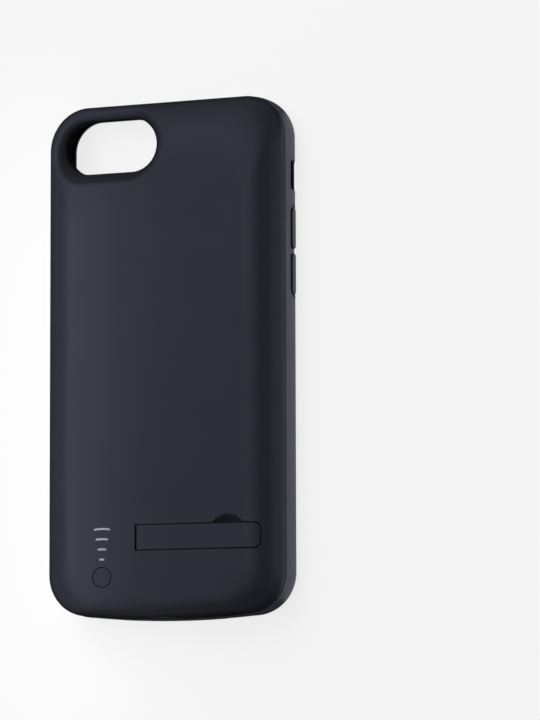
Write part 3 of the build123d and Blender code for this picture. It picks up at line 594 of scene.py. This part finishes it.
def red_lead(look):
    """Insulation of the positive lead."""
    return insulated_lead("red_lead", look, "battery_lead_positive", look.red_colour)


def black_lead(look):
    """Insulation of the negative lead."""
    return insulated_lead("black_lead", look, "battery_lead_negative", look.black_colour)


def wrinkled_foil(look):
    """Laminated foil of the cell with soft wrinkles."""
    material, tree, shader = new_material("wrinkled_foil", Metallic=0.9)
    spot = object_place(tree)
    drawn_out = stretched(tree, spot, scale=(1.0, 0.35, 1.0))
    wrinkles = noise(tree, drawn_out, size=4 * MM, detail=5.0)
    shade_with(
        tree, shader,
        Base_Color=drifted(tree, spot, look.foil_colour, patch_size=12 * MM, spread=0.05),
        Roughness=noise_between(tree, wrinkles, low=0.28, high=0.44),
    )
    raise_by(tree, shader, wrinkles, depth=0.12 * MM)
    return material


def fibre_tape(look):
    """Thin adhesive sheet with a paper-like fibre."""
    material, tree, shader = new_material("fibre_tape")
    spot = object_place(tree)
    across = stretched(tree, spot, scale=(1.0, 6.0, 1.0))
    fibres = noise(tree, across, size=1.2 * MM, detail=4.0)
    shade_with(
        tree, shader,
        Base_Color=drifted(tree, spot, look.tape_colour, patch_size=5 * MM, spread=0.06),
        Roughness=noise_between(tree, fibres, low=0.55, high=0.75),
    )
    raise_by(tree, shader, fibres, depth=0.02 * MM)
    return material


def grey_foam(look):
    """Open foam with round pores, with painted shade darkening the middle of each pore."""
    material, tree, shader = new_material("grey_foam", Roughness=0.95)
    spot = object_place(tree)
    pores = cells(tree, spot, size=0.5 * MM, feature="SMOOTH_F1")
    # Painted shade: the middles of the pores take the darker pore colour, as if shade fell deep
    # inside them.
    walls = remap(tree, pores, low=0.1, high=0.5)
    colour = mix_colour(tree, walls, look.pore_shade_colour, look.foam_colour)
    colour = drifted(tree, spot, colour, patch_size=3 * MM, spread=0.1)
    shade_with(tree, shader, Base_Color=colour)
    raise_by(tree, shader, pores, depth=0.12 * MM)
    return material


def circuit_board(look):
    """Green solder resist over copper tracks, with tinned pads."""
    material, tree, shader = new_material("circuit_board")
    spot = object_place(tree)
    track_scale = per_metre(tree, 9 * MM)
    layout = {"Vector": spot, "Scale": track_scale, "Mortar Size": 0.035, "Mortar Smooth": 0.2}
    tracks = add_node(tree, "ShaderNodeTexBrick", layout, offset=0.37).outputs["Fac"]
    pad_pitch, pad_share, track_gain = 2.2 * MM, 0.16, 2.0
    pads = calculate(tree, "LESS_THAN", cells(tree, spot, pad_pitch), pad_share)
    over_track = tuple(track_gain * channel for channel in look.board_colour)
    resist = drifted(tree, spot, look.board_colour, patch_size=6 * MM, spread=0.1)
    resist = mix_colour(tree, tracks, resist, over_track)
    shade_with(
        tree, shader,
        Base_Color=mix_colour(tree, pads, resist, look.tin_colour),
        Metallic=pads,
        Roughness=by_mask(tree, pads, outside=0.38, inside=0.3),
    )
    raise_by(tree, shader, calculate(tree, "MAXIMUM", tracks, pads), depth=0.03 * MM)
    return material


def finish(build):
    """A finish that is built once and shared by its pieces."""
    if build.__name__ not in FINISHES:
        FINISHES[build.__name__] = build(bpy.context.scene.case_finish)
    return FINISHES[build.__name__]


def dress(build, *names):
    """Gives CAD nodes a finish."""
    material = finish(build)
    for name in names:
        node = NODES[name]
        if not node.material_slots:
            node.data.materials.append(material)
        for slot in node.material_slots:
            slot.material = material


def new_object(name, shape, material):
    """An object made from a finished bmesh, at the origin."""
    mesh = bpy.data.meshes.new(name)
    shape.to_mesh(mesh)
    shape.free()
    mesh.materials.append(material)
    piece = bpy.data.objects.new(name, mesh)
    bpy.context.scene.collection.objects.link(piece)
    return piece


class CASE_OT_rear_shell(bpy.types.Operator):
    """Finish the crowned rear shell"""

    bl_idname = "charging_case.rear_shell"
    bl_label = "Rear Shell"

    def execute(self, context):
        dress(soft_touch_coat, "rear_shell")
        return {"FINISHED"}


class CASE_OT_kickstand(bpy.types.Operator):
    """Finish the folding stand and its hinge pin"""

    bl_idname = "charging_case.kickstand"
    bl_label = "Kickstand"

    def execute(self, context):
        dress(soft_touch_coat, "kickstand")
        # The pin's dark steel doubles as painted shade in the hinge gap.
        dress(gap_shade_steel, "stand_pin")
        return {"FINISHED"}


class CASE_OT_power_button(bpy.types.Operator):
    """Finish the power button and the switch under it"""

    bl_idname = "charging_case.power_button"
    bl_label = "Power Button"

    def execute(self, context):
        dress(button_coat, "power_button")
        dress(chip_epoxy, "tact_switch", "switch_plunger")
        return {"FINISHED"}


class CASE_OT_charge_lights(bpy.types.Operator):
    """Finish the milky charge lights and the lamps behind them"""

    bl_idname = "charging_case.charge_lights"
    bl_label = "Charge Lights"

    def execute(self, context):
        dress(milky_plastic, "light_guide")
        dress(phosphor_light, "indicator_leds")
        return {"FINISHED"}


class CASE_OT_bumper(bpy.types.Operator):
    """Finish the rubber bumper frame"""

    bl_idname = "charging_case.bumper"
    bl_label = "Bumper"

    def execute(self, context):
        dress(frame_rubber, "bumper_frame")
        return {"FINISHED"}


class CASE_OT_keys(bpy.types.Operator):
    """Finish the key covers on the long walls"""

    bl_idname = "charging_case.keys"
    bl_label = "Keys"

    def execute(self, context):
        dress(key_rubber, "volume_up_button", "volume_down_button", "side_key_button")
        return {"FINISHED"}


class CASE_OT_bay(bpy.types.Operator):
    """Finish the tray, the plug holder and the plug in the bay"""

    bl_idname = "charging_case.bay"
    bl_label = "Bay"

    def execute(self, context):
        dress(tray_plastic, "inner_tray", "plug_holder")
        dress(drawn_steel, "phone_plug")
        dress(gold_plate, "plug_contacts")
        dress(circuit_board, "plug_board")
        return {"FINISHED"}


class CASE_OT_battery(bpy.types.Operator):
    """Finish the battery cell, its tape, foam, board and leads"""

    bl_idname = "charging_case.battery"
    bl_label = "Battery"

    def execute(self, context):
        dress(wrinkled_foil, "battery_cell")
        dress(fibre_tape, "cell_tape")
        dress(grey_foam, "cell_foam_pad")
        dress(circuit_board, "cell_board")
        dress(red_lead, "battery_lead_positive")
        dress(black_lead, "battery_lead_negative")
        return {"FINISHED"}


class CASE_OT_electronics(bpy.types.Operator):
    """Finish the main board and the parts on it"""

    bl_idname = "charging_case.electronics"
    bl_label = "Electronics"

    def execute(self, context):
        dress(circuit_board, "main_board")
        dress(chip_epoxy, "charge_controller")
        dress(ferrite_and_copper, "boost_inductor")
        dress(tan_ceramic, "board_capacitors")
        return {"FINISHED"}


class CASE_OT_charge_socket(bpy.types.Operator):
    """Finish the charging socket and add the contacts on its tongue"""

    bl_idname = "charging_case.charge_socket"
    bl_label = "Charge Socket"

    def execute(self, context):
        dress(drawn_steel, "charge_port_shell")
        dress(chip_epoxy, "charge_port_tongue")
        self.add_contacts(context.scene.case_finish)
        return {"FINISHED"}

    def add_contacts(self, look):
        """Flat contacts with rounded edges, side by side on both faces of the tongue."""
        low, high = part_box("charge_port_tongue")
        pitch = (high[0] - low[0]) / look.contact_count
        middle_y = low[1] + look.contact_setback + look.contact_length / 2
        thickness = 2 * look.contact_rise
        size = Matrix.Diagonal((look.contact_width, look.contact_length, thickness, 1.0))
        shape = bmesh.new()
        for face_z in (low[2], high[2]):
            for index in range(look.contact_count):
                centre = Matrix.Translation((low[0] + pitch * (index + 0.5), middle_y, face_z))
                bmesh.ops.create_cube(shape, size=1.0, matrix=centre @ size)
        bmesh.ops.bevel(
            shape, geom=shape.edges[:], offset=look.contact_round, offset_type="OFFSET",
            affect="EDGES", segments=2, profile=0.5, material=-1,
        )
        contacts = new_object("socket_contacts", shape, finish(gold_plate))
        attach(contacts, "case")


def add_light(name, power, sides, place, target):
    """A rectangular soft light, out of the camera's sight, that looks at a point."""
    lamp = bpy.data.lights.new(name, "AREA")
    lamp.energy = power
    lamp.shape = "RECTANGLE"
    lamp.size, lamp.size_y = sides
    light = bpy.data.objects.new(name, lamp)
    aim = Vector(target) - Vector(place)
    light.location = MIDDLE + Vector(place)
    light.rotation_euler = aim.to_track_quat("-Z", "Y").to_euler()
    light.visible_camera = False
    bpy.context.scene.collection.objects.link(light)


class CASE_OT_studio(bpy.types.Operator):
    """Set up the floor, the dark cards, the camera and the lights"""

    bl_idname = "charging_case.studio"
    bl_label = "Studio"

    def execute(self, context):
        studio = context.scene.case_studio
        self.add_floor(studio)
        self.add_dark_cards(studio)
        self.add_sky(context, studio)
        self.add_camera(context, studio)
        self.add_lights(studio)
        context.scene.view_settings.view_transform = "Standard"
        return {"FINISHED"}

    def add_lights(self, studio):
        """The key and the fill look at the case, and the strip looks straight down."""
        middle = (0.0, 0.0, 0.0)
        below = (*studio.strip_place[:2], 0.0)
        add_light("key_light", studio.key_power, studio.key_sides, studio.key_place, middle)
        add_light("strip_light", studio.strip_power, studio.strip_sides, studio.strip_place, below)
        add_light("fill_light", studio.fill_power, studio.fill_sides, studio.fill_place, middle)

    def add_floor(self, studio):
        """A round paper sweep whose edge turns up all round."""
        shape = bmesh.new()
        edge_x = studio.floor_radius
        corners = [shape.verts.new((0.0, 0.0, 0.0)), shape.verts.new((edge_x, 0.0, 0.0))]
        for step in range(1, SWEEP_STEPS + 1):
            angle = pi / 2 * step / SWEEP_STEPS
            x = edge_x + studio.sweep_radius * sin(angle)
            corners.append(shape.verts.new((x, 0.0, studio.sweep_radius * (1 - cos(angle)))))
        edges = [shape.edges.new(pair) for pair in zip(corners, corners[1:])]
        bmesh.ops.spin(
            shape, geom=corners + edges, axis=(0, 0, 1), cent=(0, 0, 0),
            angle=2 * pi, steps=FLOOR_STEPS, use_merge=True,
        )
        bmesh.ops.remove_doubles(shape, verts=shape.verts, dist=SEAM_GAP)
        bmesh.ops.recalc_face_normals(shape, faces=shape.faces)
        floor = new_object("studio_floor", shape, self.floor_paper(studio))
        floor.data.shade_smooth()

    def floor_paper(self, studio):
        """Pale paper, mostly plain white to the eye and to gloss, that keeps a soft shadow."""
        material, tree, shader = new_material("floor_paper", Roughness=0.9)
        spot = object_place(tree)
        paper = drifted(tree, spot, studio.floor_colour, patch_size=0.5, spread=0.01)
        shade_with(tree, shader, Base_Color=paper)
        path = add_node(tree, "ShaderNodeLightPath").outputs
        seen = calculate(tree, "MAXIMUM", path["Is Camera Ray"], path["Is Glossy Ray"])
        seen = calculate(tree, "MAXIMUM", seen, path["Is Transmission Ray"])
        share = calculate(tree, "MULTIPLY", seen, studio.floor_white)
        white = add_node(tree, "ShaderNodeEmission", {"Color": WHITE, "Strength": 1.0})
        parts = {0: share, 1: shader.outputs["BSDF"], 2: white.outputs["Emission"]}
        mixed = add_node(tree, "ShaderNodeMixShader", parts).outputs["Shader"]
        tree.links.new(mixed, tree.nodes["Material Output"].inputs["Surface"])
        return material

    def add_dark_cards(self, studio):
        """Dark cards under the case, at its left and at both ends, that only gloss sees."""
        low, high = cad_box
        reach, overlap, lift = studio.card_reach, studio.card_overlap, studio.card_lift
        right = high[0] - overlap
        shape = bmesh.new()
        for near, far in ((low[1] + overlap, -reach), (high[1] - overlap, reach)):
            outline = ((-reach, near), (reach, near), (reach, far), (-reach, far))
            shape.faces.new([shape.verts.new((x, y, lift)) for x, y in outline])
        side = ((right, low[1]), (right, high[1]), (-reach, high[1]), (-reach, low[1]))
        corners = [shape.verts.new((x, y, lift)) for x, y in side]
        shape.faces.new(corners)
        raised = bmesh.ops.extrude_edge_only(shape, edges=[shape.edges.get(corners[2:4])])
        upper = [item for item in raised["geom"] if isinstance(item, bmesh.types.BMVert)]
        bmesh.ops.translate(shape, vec=(0.0, 0.0, studio.card_rise), verts=upper)
        cards = new_object("dark_cards", shape, self.dark_cloth(studio))
        cards.visible_camera = False
        cards.visible_diffuse = False
        cards.visible_shadow = False
        cards.visible_transmission = False

    def dark_cloth(self, studio):
        """Dark cloth with no gloss of its own."""
        material, tree, shader = new_material("dark_cloth", Roughness=1.0, Specular_IOR_Level=0.0)
        spot = object_place(tree)
        cloth = drifted(tree, spot, studio.card_colour, patch_size=50 * MM, spread=0.2)
        shade_with(tree, shader, Base_Color=cloth)
        return material

    def add_sky(self, context, studio):
        """Even light from all round."""
        world = bpy.data.worlds.new("studio_sky")
        world.use_nodes = True
        sky = world.node_tree.nodes["Background"]
        sky.inputs["Color"].default_value = WHITE
        sky.inputs["Strength"].default_value = studio.sky_level
        context.scene.world = world

    def add_camera(self, context, studio):
        """The camera looks at the rear from the right and the bottom end, with the window up."""
        lens = bpy.data.cameras.new("studio_camera")
        lens.lens = studio.focal_length
        lens.sensor_width = SENSOR_WIDTH
        lens.clip_end = SIGHT
        camera = bpy.data.objects.new("studio_camera", lens)
        turned = Matrix.Rotation(studio.yaw, 4, "Y") @ Matrix.Rotation(studio.pitch, 4, "X")
        back = turned @ Vector((0.0, 0.0, 1.0))
        aim = turned @ Matrix.Rotation(-studio.pan, 4, "Y") @ Matrix.Rotation(-studio.tilt, 4, "X")
        camera.matrix_world = Matrix.Translation(MIDDLE + back * studio.distance) @ aim
        context.scene.collection.objects.link(camera)
        context.scene.camera = camera


OPERATORS = (
    CASE_OT_rear_shell,
    CASE_OT_kickstand,
    CASE_OT_power_button,
    CASE_OT_charge_lights,
    CASE_OT_bumper,
    CASE_OT_keys,
    CASE_OT_bay,
    CASE_OT_battery,
    CASE_OT_electronics,
    CASE_OT_charge_socket,
    CASE_OT_studio,
)


class CASE_PT_sidebar(bpy.types.Panel):
    """The case's finishes and its studio"""

    bl_label = "Charging Case"
    bl_idname = "CASE_PT_sidebar"
    bl_space_type = "VIEW_3D"
    bl_region_type = "UI"
    bl_category = "Charging Case"

    def draw(self, context):
        for settings in (context.scene.case_finish, context.scene.case_studio):
            for name in settings.__annotations__:
                self.layout.prop(settings, name)
        for operator in OPERATORS:
            self.layout.operator(operator.bl_idname)


CLASSES = (CaseFinish, CaseStudio, *OPERATORS, CASE_PT_sidebar)


def register():
    """Registers the classes and hangs the two groups of properties on the scene."""
    for cls in CLASSES:
        bpy.utils.register_class(cls)
    bpy.types.Scene.case_finish = PointerProperty(type=CaseFinish)
    bpy.types.Scene.case_studio = PointerProperty(type=CaseStudio)


def unregister():
    """Takes back what register did."""
    del bpy.types.Scene.case_studio
    del bpy.types.Scene.case_finish
    for cls in reversed(CLASSES):
        bpy.utils.unregister_class(cls)


def main():
    """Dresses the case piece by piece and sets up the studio."""
    register()
    case = bpy.ops.charging_case
    case.rear_shell()
    case.kickstand()
    case.power_button()
    case.charge_lights()
    case.bumper()
    case.keys()
    case.bay()
    case.battery()
    case.electronics()
    case.charge_socket()
    case.studio()


if __name__ == "__main__":
    main()
